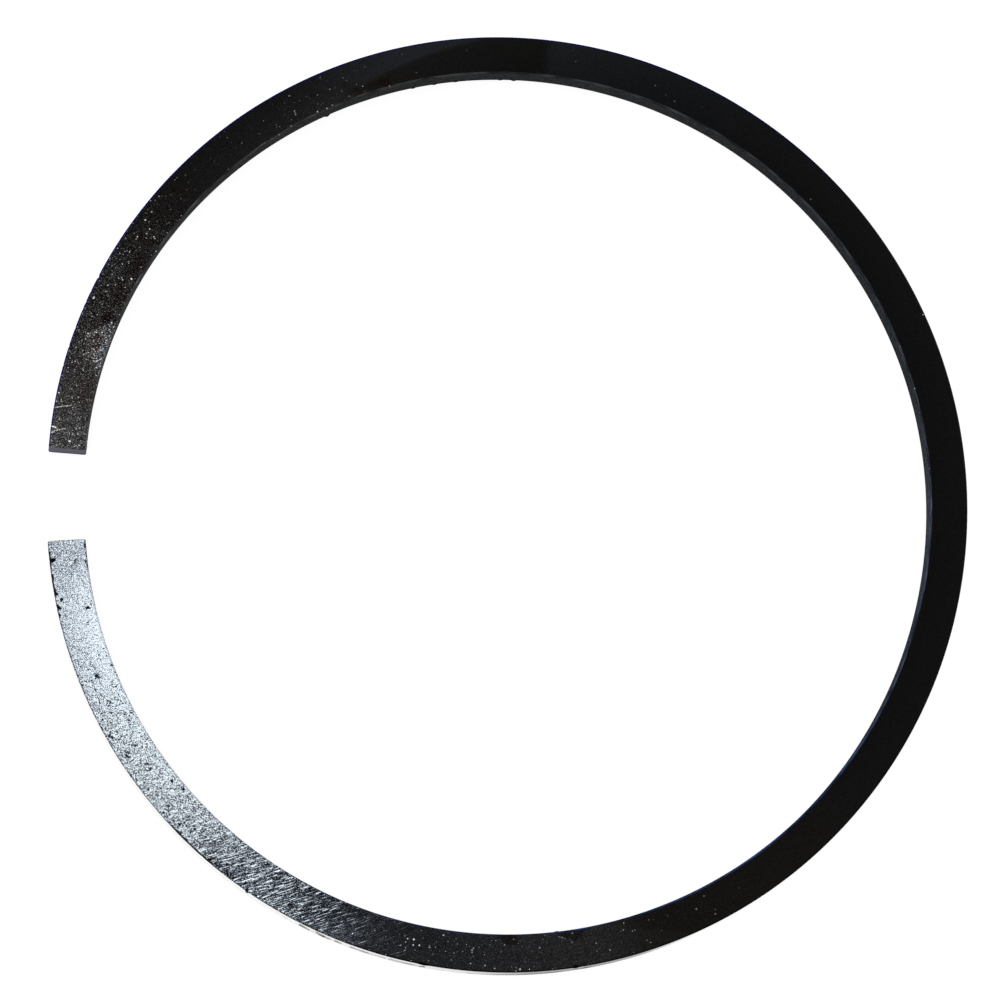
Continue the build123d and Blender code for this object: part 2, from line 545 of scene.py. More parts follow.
    # dark smears on the outer face, by their places along and in height
    smears: tuple[Mark, ...] = made(
        Mark,
        ((55.6, 1.4), (56.1, 1.2), 2, 0.25), ((58, 1.8), (58.9, 1.3), 3.4, 0.65),
        ((59.2, 1.2), (59.6, 1.2), 2.4, 0.25), ((60.2, 2.4), (60.9, 1.8), 3.6, 0.8),
        ((60.6, 1.4), (61.8, 1.2), 3, 0.55), ((62.6, 1.6), (63.2, 1.4), 2.8, 0.65),
        ((64.6, 1.4), (65.4, 1.3), 2.6, 0.5), ((65.8, 1.4), (66.7, 1.3), 3, 0.55),
        ((67.2, 1.2), (68.8, 1.2), 2.4, 0.35), ((69.5, 1.3), (73.6, 1.2), 2.6, 0.42),
        ((73.3, 1.4), (73.6, 1.5), 2.6, 0.9), ((79, 1.2), (101.5, 1), 3, 0.14),
        ((82, 1), (98, 1.4), 2.6, 0.14), ((86, 1.4), (95, 1), 2.2, 0.14),
        ((93.2, 1.5), (93.9, 1.8), 2.2, 0.45), ((91.7, 3.8), (92.1, 3.4), 1.6, 0.8),
    )
    walls: tuple[WallStop, ...] = made(
        WallStop,
        (0, 1, 0.62, 1), (56, 1, 0.62, 1), (66, 0.88, 0.66, 1), (78, 0.8, 0.7, 1),
        (86, 0.42, 0.74, 1), (100, 0.42, 0.8, 1), (108, 1, 1.05, 1), (140, 1, 1.38, 1),
        (156, 1, 1.28, 0.8), (172, 1, 1.75, 0.5), (188, 1, 1.17, 0.4), (220, 1, 1.05, 0.2),
        (256, 1, 1.22, 0.05), (284, 1, 1.16, 0), (300, 1, 1.27, 0), (316, 1, 1.8, 0),
        (346, 1, 1.85, 0),
    )
    # where painted glints sit on the inner edge: from and to
    glints: tuple[Row, ...] = ((161, 196), (243, 249), (286, 298))
    glint_share: float = 0.25
    pore_seed: int = 11
    pore_count: int = 90
    pore_from: float = 22.0
    pore_to: float = 50.0
    pore_size: Row = (0.18, 0.46)

    def pores(self) -> tuple[Pit, ...]:
        """Fine pores, denser where the painted reflection starts to fade.

        Returns:
            The pores, the same each time.
        """
        rng = np.random.default_rng(self.pore_seed)
        half = self.sizes.half_width
        pores = []
        for _ in range(self.pore_count):
            along = self.pore_from + (self.pore_to - self.pore_from) * rng.random() ** 0.8
            across = half * (2 * rng.random() - 1) * 0.92
            length = rng.uniform(*self.pore_size)
            width = length * rng.uniform(0.4, 0.7)
            turn = rng.normal(-45, 25)
            wobble = rng.uniform(0, 6)
            dark = 0.15 + 0.5 * rng.random() ** 2
            pores.append(Pit(along, across, length, width, length * 0.2, turn, wobble, dark))
        return tuple(pores)

    def hollows(self, along: Array, across: Array) -> tuple[Array, Array]:
        """Depth of the pits and chips, and the painted shade in them.

        Args:
            along: Places along the bar.
            across: Places across the bar.

        Returns:
            The depth in millimetres, and a mask from 0 to 1.
        """
        depth = np.zeros_like(along)
        shade = np.zeros_like(along)
        for pit in self.pits + self.pores():
            near = np.abs(along - pit.along) < pit.length
            reach = pit.reach(along[near], across[near])
            depth[near] = np.maximum(depth[near], pit.depth * (1 - smooth_step(reach, 0.35, 1.0)))
            dark = pit.dark * (1 - smooth_step(reach, 0.82, 1.15))
            shade[near] = np.maximum(shade[near], dark)
        return depth, shade

    def edge_shift(self, along: Array, edge: Edge, low: bool = False) -> Array:
        """How far the burrs and nicks move an edge outwards from the bar.

        Args:
            along: Places along the bar.
            edge: The edge in question.
            low: Whether it is the lower side's edge.

        Returns:
            Shifts in millimetres, negative into the bar.
        """
        shift = np.zeros_like(along)
        for burr in self.burrs:
            if burr.edge is edge and burr.low is low:
                reach = np.abs(along - burr.along) / (burr.length / 2)
                shift += burr.stand_out * (1 - smooth_step(reach, 0.0, 1.0))
        return shift

    def finish_and_reflection_at(self, along: Array, across: Array) -> tuple[Array, Array, Array]:
        """The finish of the upper side and the reflection painted on it, read between its stops.

        Args:
            along: Places along the bar.
            across: Places across the bar.

        Returns:
            Tone, grain and lines, one row a place; painted glint specks, glint flecks and warmth in
            the same way; rust.
        """
        values = between(self.finish_and_reflection, along)
        tone = values["tone"] + values["lean"] * across
        glint_specks, flecks, warmth = values["glint_specks"], values["flecks"], values["warmth"]
        for patch in self.patches:
            share = patch.share(along, across)
            tone = tone + patch.tone * share
            flecks = flecks + patch.flecks * share
            warmth = warmth + patch.warmth * share
        rust = np.zeros_like(along)
        for spot in self.rust:
            near = 1 - smooth_step(spot.reach(along, across), 0.4, 1.1)
            rust = np.maximum(rust, spot.depth * near)
        inner_edge = smooth_step(-across, self.sizes.half_width - 0.26, self.sizes.half_width - 0.2)
        for start, stop in self.glints:
            inside = (along > start) & (along < stop)
            glint_specks = glint_specks + self.glint_share * inner_edge * inside
        finish_and_reflection = np.column_stack([tone, values["grain"], values["lines"]])
        return finish_and_reflection, np.column_stack([glint_specks, flecks, warmth]), rust


@dataclass
class RingBar:
    """The ring's mesh: a grid of stations along the bar, each with the same loop of columns."""

    sizes: RingSizes
    shape: FreeShape
    wear_and_light: WearAndPaintedLight
    face_steps: int = 40
    lower_steps: int = 4
    # heights of the wall's rows, between the edge breaks
    wall_rows: Row = (3.77, 3.62, 3.40, 3.0, 2.2, 1.4, 0.8, 0.45, 0.23)
    plain_step: float = 0.8
    # where the marks are: from, to and step
    fine_stretches: tuple[Row, ...] = (
        (0.0, 10.0, 0.1),
        (10.0, 50.0, 0.13),
        (80.0, 96.0, 0.25),
        (260.5, 275.5, 0.25),
        (286.0, 288.0, 0.2),
        (313.0, 346.0, 0.18),
    )
    change_length: float = 4.0
    # inset from the wall and drop from the side face, along one slightly rounded edge break
    edge_insets: Row = (0.0, 0.015, 0.06, 0.10, 0.14, 0.185, 0.23)
    edge_drops: Row = (0.23, 0.185, 0.14, 0.10, 0.06, 0.015, 0.0)
    chip_bite: float = 0.2
    chip_reach: float = 1.2
    nib_reach: float = 0.8

    def stations(self) -> Array:
        """Places along the bar, close together where the marks are.

        Returns:
            Places in millimetres, from one end to the other.
        """
        length = self.sizes.bar_length
        probe = np.linspace(0.0, length, 7001)
        step = np.full_like(probe, self.plain_step)
        for start, stop, fine_step in self.fine_stretches:
            away = np.maximum(start - probe, probe - stop)
            share = smooth_step(away, 0.0, self.change_length)
            step = np.minimum(step, fine_step + (self.plain_step - fine_step) * share)
        travelled = np.concatenate([[0.0], np.cumsum(np.diff(probe) / step[1:])])
        count = int(round(travelled[-1]))
        inner = np.interp(np.linspace(0, travelled[-1], count + 1), travelled, probe)
        insets = np.array(sorted({*self.edge_insets, 0.03, 0.3}))
        clear = insets[-1] + self.fine_stretches[0][2] / 2
        inner = inner[(inner > clear) & (inner < length - clear)]
        return np.concatenate([insets, inner, length - insets[::-1]])

    def loop(self) -> tuple[Array, Array, list[Zone]]:
        """One section of the bar, as columns that run round it.

        Returns:
            Across and height of each column, and the zone from each column to the next.
        """
        half, top = self.sizes.half_width, self.sizes.axial_width
        insets, drops = np.array(self.edge_insets), np.array(self.edge_drops)
        reach = half - insets[-1]
        face = np.linspace(-reach, reach, self.face_steps + 1)
        wall = np.array(self.wall_rows)
        below = np.linspace(reach, -reach, self.lower_steps + 1)
        runs = (
            (face, np.full_like(face, top), Zone.UPPER_SIDE),
            (half - insets[::-1], top - drops[::-1], Zone.UPPER_SIDE),
            (np.full_like(wall, half), wall, Zone.OUTER_FACE),
            (half - insets, drops, Zone.LOWER_SIDE),
            (below, np.zeros_like(below), Zone.LOWER_SIDE),
            (insets[::-1] - half, drops[::-1], Zone.LOWER_SIDE),
            (np.full_like(wall, -half), wall[::-1], Zone.INNER_FACE),
            (insets - half, top - drops, Zone.UPPER_SIDE),
        )
        # the last column of each run is left out, because the next run starts with it
        across = np.concatenate([run[0][:-1] for run in runs])
        height = np.concatenate([run[1][:-1] for run in runs])
        zones = [zone for places, _, zone in runs for _ in places[:-1]]
        return across, height, zones

    def bar_points(self, stations: Array, across: Array, height: Array) -> Array:
        """Points of the straight bar with its ends broken and rounded.

        Args:
            stations: Places along the bar.
            across: Across of each column.
            height: Height of each column.

        Returns:
            Points in bar coordinates, station by station.
        """
        half, top = self.sizes.half_width, self.sizes.axial_width
        radius = self.sizes.corner_radius
        along, wide = np.meshgrid(stations, across, indexing="ij")
        end_inset = np.minimum(along, self.sizes.bar_length - along)
        inside = np.clip(radius - end_inset, 0.0, radius)
        pull = radius - np.sqrt(radius**2 - inside**2)
        wide = wide * (half - pull) / half
        side_inset = half - np.abs(wide)
        corner = (side_inset < radius) & (end_inset < radius)
        nearest = np.minimum(side_inset, end_inset)
        round_inset = radius - np.hypot(radius - side_inset, radius - end_inset)
        inset = np.clip(np.where(corner, round_inset, nearest), 0.0, None)
        drop = np.interp(inset, self.edge_insets, self.edge_drops)
        tall = np.where(height > top - self.edge_drops[0], top - drop, height)
        tall = np.where(height < self.edge_drops[0], drop, tall)
        return np.column_stack([along.ravel(), wide.ravel(), tall.ravel()])

    def worn_points(self, bar: Array) -> Array:
        """The same points with the pits, chips, nicks and burrs cut into them.

        Args:
            bar: Points of the plain bar, in bar coordinates.

        Returns:
            Points of the worn bar, in bar coordinates.
        """
        half, top = self.sizes.half_width, self.sizes.axial_width
        along, across, height = bar.T
        edge_height = top - self.edge_drops[0]
        depth, _ = self.wear_and_light.hollows(along, across)
        on_top = height > edge_height + 1e-6
        worn = bar.copy()
        worn[on_top, 2] -= depth[on_top]
        for edge in Edge:
            on_side = across * edge.value > 0
            at_edge = np.full_like(along, half * edge.value)
            edge_depth, _ = self.wear_and_light.hollows(along, at_edge)
            wall = on_side & ~on_top & (height > self.edge_drops[0])
            share = (height[wall] - self.edge_drops[0]) / (edge_height - self.edge_drops[0])
            worn[wall, 2] -= edge_depth[wall] * share
            near_top = smooth_step(height, top - self.chip_reach, edge_height)
            near_foot = 1 - smooth_step(height, self.edge_drops[0], self.nib_reach)
            near_edge = 1 - smooth_step(half - np.abs(across), 0.1, 0.6)
            shift = self.wear_and_light.edge_shift(along, edge) - self.chip_bite * edge_depth
            low_shift = self.wear_and_light.edge_shift(along, edge, low=True)
            moved = on_side & (near_edge > 0)
            total = (shift * near_top + low_shift * near_foot) * near_edge
            worn[moved, 1] += edge.value * total[moved]
        return worn

    def mesh(self, name: str) -> bpy.types.Mesh:
        """Builds the bent ring's mesh, with its zones and the attributes that its finishes read.

        Args:
            name: Name of the mesh.

        Returns:
            The mesh, in metres in the row frame.
        """
        stations = self.stations()
        across, height, zones = self.loop()
        columns = len(across)
        bar = self.worn_points(self.bar_points(stations, across, height))
        row = np.arange(len(stations) - 1)[:, None] * columns
        column = np.arange(columns)[None, :]
        beside = (column + 1) % columns
        corners = [row + column, row + beside, row + columns + beside, row + columns + column]
        quads = np.stack(corners, axis=-1).reshape(-1, 4)
        last = (len(stations) - 1) * columns
        caps = [list(range(columns - 1, -1, -1)), list(range(last, last + columns))]
        mesh = bpy.data.meshes.new(name)
        mesh.from_pydata(self.shape.bend(bar).tolist(), [], quads.tolist() + caps)
        slots = np.tile([zone.value for zone in zones], (len(stations) - 1, 1))
        walls = np.isin(slots, (Zone.OUTER_FACE.value, Zone.INNER_FACE.value))
        middles = (stations[1:] + stations[:-1]) / 2
        from_end = np.minimum(middles, self.sizes.bar_length - middles)
        at_end = (from_end < self.sizes.corner_radius)[:, None]
        slots = np.where(walls & at_end, Zone.END_FACE.value, slots).ravel()
        slots = np.concatenate([slots, [Zone.END_FACE.value] * len(caps)])
        mesh.polygons.foreach_set("material_index", slots.astype(np.int32))
        smooth = np.ones(len(slots), bool)
        smooth[-len(caps):] = False
        mesh.polygons.foreach_set("use_smooth", smooth)
        self.add_readings(mesh, bar)
        mesh.validate()
        mesh.update()
        return mesh

    def add_readings(self, mesh: bpy.types.Mesh, bar: Array) -> None:
        """Stores what the finishes read: bar coordinates, the finish and painted reflection there,
        and its marks with the painted glints and shade.

        Args:
            mesh: The mesh to store them on.
            bar: Its points in bar coordinates.
        """
        along, across, height = bar.T
        half = self.sizes.half_width
        finish_and_reflection, glints_and_warmth, rust = self.wear_and_light.finish_and_reflection_at(along, across)
        # painted shade in the pits and chips, in the upper part of the bar only; the nibs are
        # darkened in the same mask
        _, shade = self.wear_and_light.hollows(along, across)
        shade = np.where(height > self.sizes.axial_width - 0.45, shade, 0.0)
        # a mask that rises towards each long edge, for the painted shade and light on the edge
        # breaks
        reach = np.where(across > 0, 0.24, 0.15)
        near_edge = (1 - smooth_step((half - np.abs(across)) / reach, 0.2, 1.0)) * np.sign(across)
        for edge in Edge:
            for low in (False, True):
                near_burr = (height < self.nib_reach) if low else (height > self.wall_rows[2])
                at_edge = near_burr & (across * edge.value > half - 0.15)
                shade[at_edge & (self.wear_and_light.edge_shift(along, edge, low) > 0.02)] = 1.0
        walls = between(self.wear_and_light.walls, along)
        readings = {
            "bar": bar,
            "finish_and_reflection": finish_and_reflection,
            "marks": np.column_stack([shade, near_edge, rust]),
            "glints_and_warmth": glints_and_warmth,
            "walls": np.column_stack([walls["outer"], walls["inner"], walls["blue"]]),
        }
        for name, values in readings.items():
            attribute = mesh.attributes.new(name, "FLOAT_VECTOR", "POINT")
            attribute.data.foreach_set("vector", values.astype(np.float32).ravel())


class NodeSketch:
    """Adds nodes to one tree, and links them with short calls."""

    column_width = 190

    def __init__(self, tree: bpy.types.NodeTree) -> None:
        """Starts on an empty tree."""
        self.tree = tree

    def feed(self, socket: Socket, value: Feed) -> None:
        """Links a socket to an input, or sets the input to a plain value.

        Args:
            socket: The input.
            value: An output to link, or a number or colour.
        """
        if isinstance(value, bpy.types.NodeSocket):
            self.tree.links.new(value, socket)
        else:
            socket.default_value = value

    def add(
        self, kind: str, feeds: dict[str | int, Feed] | None = None, **options: object
    ) -> bpy.types.Node:
        """Adds a node.

        Args:
            kind: Blender's name for the kind of node.
            feeds: What its inputs take, by name or number.
            options: Its own settings.

        Returns:
            The node.
        """
        node = self.tree.nodes.new(kind)
        node.location.x = len(self.tree.nodes) * self.column_width
        for name, value in options.items():
            setattr(node, name, value)
        for name, value in (feeds or {}).items():
            self.feed(node.inputs[name], value)
        return node

    def math(self, operation: str, *values: Feed, clamp: bool = False) -> Socket:
        """Adds a Math node, with its result held from 0 to 1 if asked."""
        feeds = dict(enumerate(values))
        return self.add("ShaderNodeMath", feeds, operation=operation, use_clamp=clamp).outputs[0]

    def vector(self, operation: str, *values: Feed, output: str = "Vector") -> Socket:
        """Adds a Vector Math node."""
        feeds = dict(enumerate(values))
        return self.add("ShaderNodeVectorMath", feeds, operation=operation).outputs[output]

    def scaled(self, vector: Feed, factor: Feed) -> Socket:
        """Scales a vector by one factor."""
        node = self.add("ShaderNodeVectorMath", {0: vector, "Scale": factor}, operation="SCALE")
        return node.outputs[0]

    def total(self, *values: Feed) -> Socket:
        """Adds two values or more up."""
        return reduce(lambda result, value: self.math("ADD", result, value), values)

    def step(
        self, value: Feed, low: Feed, high: Feed, to_low: Feed = 0.0, to_high: Feed = 1.0
    ) -> Socket:
        """Maps a value smoothly, from to_low at low to to_high at high."""
        feeds = {0: value, 1: low, 2: high, 3: to_low, 4: to_high}
        return self.add("ShaderNodeMapRange", feeds, interpolation_type="SMOOTHSTEP").outputs[0]

    def mix_colour(self, share: Feed, low: Feed, high: Feed) -> Socket:
        """Mixes two colours, by the share of the second."""
        feeds = {"Factor": share, 6: low, 7: high}
        return self.add("ShaderNodeMix", feeds, data_type="RGBA").outputs[2]

    def combined(self, x: Feed, y: Feed, z: Feed = 0.0) -> Socket:
        """Makes a vector from its three parts."""
        return self.add("ShaderNodeCombineXYZ", {0: x, 1: y, 2: z}).outputs[0]

    def turned_back(self, place: Feed, turn: Feed) -> Socket:
        """Turns a place back by an angle in the plane."""
        feeds = {"Vector": place, "Angle": self.math("MULTIPLY", turn, -1.0)}
        return self.add("ShaderNodeVectorRotate", feeds, rotation_type="Z_AXIS").outputs[0]

    def attribute(self, name: str) -> tuple[Socket, Socket, Socket, Socket]:
        """Reads a vector attribute of the mesh, and gives it and its three parts."""
        vector = self.add("ShaderNodeAttribute", attribute_name=name).outputs["Vector"]
        return vector, *self.add("ShaderNodeSeparateXYZ", {0: vector}).outputs

    def place_mm(self) -> Socket:
        """Gives the place on the piece in the row frame, in millimetres."""
        return self.scaled(self.add("ShaderNodeTexCoord").outputs["Object"], 1 / MM)


def start_sketch(owner: bpy.types.Material | bpy.types.World) -> NodeSketch:
    """Starts a sketch on the node tree of a material or a world, and empties the tree.

    Args:
        owner: The material or the world.

    Returns:
        The sketch.
    """
    owner.use_nodes = True
    owner.node_tree.nodes.clear()
    return NodeSketch(owner.node_tree)


FLOAT = "NodeSocketFloat"
VECTOR = "NodeSocketVector"
Given = bpy.types.NodeOutputs


class Effect:
    """A shader effect that several finishes use: one node group, built once."""

    name: str = ""
    inputs: dict[str, str] = {}

    def draw(self, sketch: NodeSketch, given: Given) -> Socket:
        """Draws the group's nodes.

        Args:
            sketch: The group's tree.
            given: The group's inputs, by name.

        Returns:
            What the group puts out.
        """
        raise NotImplementedError

    def group(self) -> bpy.types.NodeTree:
        """Finds the node group, or builds it the first time.

        Returns:
            The group.
        """
        tree = bpy.data.node_groups.get(self.name)
        if tree is not None:
            return tree
        tree = bpy.data.node_groups.new(self.name, "ShaderNodeTree")
        for label, kind in self.inputs.items():
            tree.interface.new_socket(label, in_out="INPUT", socket_type=kind)
        tree.interface.new_socket("Value", in_out="OUTPUT", socket_type=FLOAT)
        sketch = NodeSketch(tree)
        given = sketch.add("NodeGroupInput").outputs
        sketch.add("NodeGroupOutput", {"Value": self.draw(sketch, given)})
        return tree

    def place(self, sketch: NodeSketch, **feeds: Feed) -> Socket:
        """Places the group in a finish, with what its inputs take."""
        return sketch.add("ShaderNodeGroup", feeds, node_tree=self.group()).outputs[0]


class MetalGrain(Effect):
    """Fine uneven grain of ground or cast metal, about 0 in the middle and from -1 to 1."""

    name = "metal_grain"
    inputs = {"Place": VECTOR, "Size": FLOAT}

    def draw(self, sketch: NodeSketch, given: Given) -> Socket:
        """Draws two sizes of noise on top of each other, askew to every face of the bar.

        Args:
            sketch: The group's tree.
            given: The group's inputs, by name.

        Returns:
            The grain.
        """
        scale = sketch.math("DIVIDE", 1.0, given["Size"])
        askew = {"Vector": given["Place"], "Rotation": (0.5, 0.4, 0.6)}
        turned = sketch.add("ShaderNodeVectorRotate", askew, rotation_type="EULER_XYZ").outputs[0]
        fine = sketch.add("ShaderNodeTexNoise", {"Vector": turned, "Scale": scale, "Detail": 0.0})
        feeds = {"Vector": turned, "Scale": sketch.math("MULTIPLY", scale, 0.35), "Detail": 1.0}
        coarse = sketch.add("ShaderNodeTexNoise", feeds)
        fine_part = sketch.math("MULTIPLY_ADD", fine.outputs["Fac"], 22.0, -11.0)
        coarse_part = sketch.math("MULTIPLY_ADD", coarse.outputs["Fac"], 0.3, -0.15)
        return sketch.math("ADD", fine_part, coarse_part)


class StraightLines(Effect):
    """Fine straight lines left by grinding or turning, about 0 in the middle."""

    name = "straight_lines"
    inputs = {"Place": VECTOR, "Turn": FLOAT, "Length": FLOAT, "Width": FLOAT}

    def draw(self, sketch: NodeSketch, given: Given) -> Socket:
        """Draws noise that is drawn out along one direction.

        Args:
            sketch: The group's tree.
            given: The group's inputs, by name.

        Returns:
            The lines.
        """
        turned = sketch.turned_back(given["Place"], given["Turn"])
        crosswise = sketch.math("DIVIDE", 1.0, given["Width"])
        stretch = sketch.combined(
            sketch.math("DIVIDE", 1.0, given["Length"]), crosswise, crosswise
        )
        feeds = {"Vector": sketch.vector("MULTIPLY", turned, stretch), "Scale": 1.0}
        noise = sketch.add("ShaderNodeTexNoise", {**feeds, "Detail": 1.0, "Roughness": 0.6})
        return sketch.math("MULTIPLY_ADD", noise.outputs["Fac"], 10.0, -5.0)


class ScatteredSpots(Effect):
    """Small spots at scattered places, each of its own size and strength."""

    name = "scattered_spots"
    inputs = {
        "Place": VECTOR,
        "Share": FLOAT,
        "Spacing": FLOAT,
        "Size": FLOAT,
        "Turn": FLOAT,
        "Stretch": FLOAT,
    }

    def draw(self, sketch: NodeSketch, given: Given) -> Socket:
        """Draws a spot in some of the cells of a Voronoi pattern.

        Args:
            sketch: The group's tree.
            given: The group's inputs, by name.

        Returns:
            A mask from 0 to 1.
        """
        turned = sketch.turned_back(given["Place"], given["Turn"])
        squeeze = sketch.combined(sketch.math("DIVIDE", 1.0, given["Stretch"]), 1.0, 1.0)
        scale = sketch.math("DIVIDE", 1.0, given["Spacing"])
        feeds = {"Vector": sketch.vector("MULTIPLY", turned, squeeze), "Scale": scale}
        cells = sketch.add("ShaderNodeTexVoronoi", feeds, voronoi_dimensions="2D").outputs
        parts = sketch.add("ShaderNodeSeparateColor", {0: cells["Color"]}).outputs
        chance, strength, size = parts
        taken = sketch.math("LESS_THAN", chance, given["Share"])
        radius = sketch.math("MULTIPLY", given["Size"], 0.5)
        radius = sketch.math("MULTIPLY", radius, sketch.math("MULTIPLY_ADD", size, 0.7, 0.5))
        radius = sketch.math("MULTIPLY", radius, scale)
        core = sketch.math("MULTIPLY", radius, 0.5)
        spot = sketch.step(cells["Distance"], core, radius, 1.0, 0.0)
        shine = sketch.math("MULTIPLY_ADD", sketch.math("POWER", strength, 2.5), 0.8, 0.2)
        return sketch.math("MULTIPLY", sketch.math("MULTIPLY", spot, taken), shine)


@dataclass(frozen=True)
class SpotPattern:
    """Sizes of one kind of scattered spots.

    Attributes:
        spacing: Usual distance from one place for a spot to the next.
        size: How wide the spots are.
        turn: Direction that they are drawn out in, as an angle.
        stretch: How many times longer than wide they are.
        shift: Where the pattern lies, so that two kinds don't fall together.
    """

    spacing: float
    size: float
    turn: float = 0.0
    stretch: float = 1.0
    shift: Row = (0.0, 0.0, 0.0)

    def place(self, sketch: NodeSketch, place: Socket, share: Feed) -> Socket:
        """Places the spots in a finish.

        Args:
            sketch: The finish's tree.
            place: The place on the surface.
            share: Share of the places that have a spot.

        Returns:
            A mask from 0 to 1.
        """
        return ScatteredSpots().place(
            sketch,
            Place=sketch.vector("ADD", place, self.shift) if any(self.shift) else place,
            Share=share,
            Spacing=self.spacing,
            Size=self.size,
            Turn=self.turn,
            Stretch=self.stretch,
        )


class MarkLine(Effect):
    """One straight mark or round speck, from 0 beside it to 1 on its middle."""

    name = "mark_line"
    inputs = {"Place": VECTOR, "Start": VECTOR, "Run": VECTOR, "Width": FLOAT}

    def draw(self, sketch: NodeSketch, given: Given) -> Socket:
        """Measures how far the place is from the mark.

        Args:
            sketch: The group's tree.
            given: The group's inputs, by name.

        Returns:
            A mask from 0 to 1.
        """
        run = given["Run"]
        flat = sketch.vector("MULTIPLY", given["Place"], (1.0, 1.0, 0.0))
        apart = sketch.vector("SUBTRACT", flat, given["Start"])
        along = sketch.vector("DOT_PRODUCT", apart, run, output="Value")
        whole = sketch.vector("DOT_PRODUCT", run, run, output="Value")
        foot = sketch.scaled(run, sketch.math("DIVIDE", along, whole, clamp=True))
        off = sketch.vector("LENGTH", sketch.vector("SUBTRACT", apart, foot), output="Value")
        half = sketch.math("MULTIPLY", given["Width"], 0.5)
        return sketch.step(off, sketch.math("MULTIPLY", half, 0.3), half, 1.0, 0.0)


def marked(sketch: NodeSketch, place: Socket, marks: tuple[Mark, ...]) -> Socket:
    """Adds up straight marks, each on top of the sum of those before it.

    Args:
        sketch: The material's tree.
        place: The place on the surface, of which the first two parts count.
        marks: The marks.

    Returns:
        A mask from 0 to about 1.
    """
    total = 0.0
    for mark in marks:
        run = (mark.end[0] - mark.start[0], mark.end[1] - mark.start[1], 0.0)
        line = MarkLine().place(
            sketch, Place=place, Start=(*mark.start, 0.0), Run=run, Width=mark.width
        )
        total = sketch.math("MULTIPLY_ADD", line, mark.strength, total)
    return total


@dataclass(frozen=True)
class Finish:
    """A metal finish. Each kind draws its own base colour, roughness and relief.

    Attributes:
        name: Name of the material.
        metallic: How metallic it is, where a kind doesn't draw it.
        specular: Its specular level.
        relief: Height of its relief, in millimetres.
    """

    name: str = "metal"
    metallic: float = 1.0
    specular: float = 0.5
    relief: float = 0.01

    def draw(self, sketch: NodeSketch) -> dict[str, Feed]:
        """Draws the finish.

        Args:
            sketch: The material's tree.

        Returns:
            What feeds Base Color and Roughness, Height for the relief, and what else varies.
        """
        raise NotImplementedError

    def material(self) -> bpy.types.Material:
        """Builds the material.

        Returns:
            The material.
        """
        material = bpy.data.materials.new(self.name)
        sketch = start_sketch(material)
        looks = {"Metallic": self.metallic, "Coat Weight": 0.0, **self.draw(sketch)}
        relief = {"Height": looks.pop("Height"), "Distance": self.relief * MM, "Strength": 1.0}
        looks["Normal"] = sketch.add("ShaderNodeBump", relief).outputs[0]
        gloss = {"Specular IOR Level": self.specular, "Coat Roughness": 0.08, "Coat IOR": 1.8}
        shader = sketch.add("ShaderNodeBsdfPrincipled", {**looks, **gloss})
        sketch.add("ShaderNodeOutputMaterial", {"Surface": shader.outputs[0]})
        return material


WALL_GREY = (0.97, 1.0, 1.02, 1.0)
WALL_BLUE = (0.70, 1.0, 1.45, 1.0)
RIM_BLUE = (0.45, 0.85, 2.6, 1.0)
LINE_TURN = math.radians(18.5)


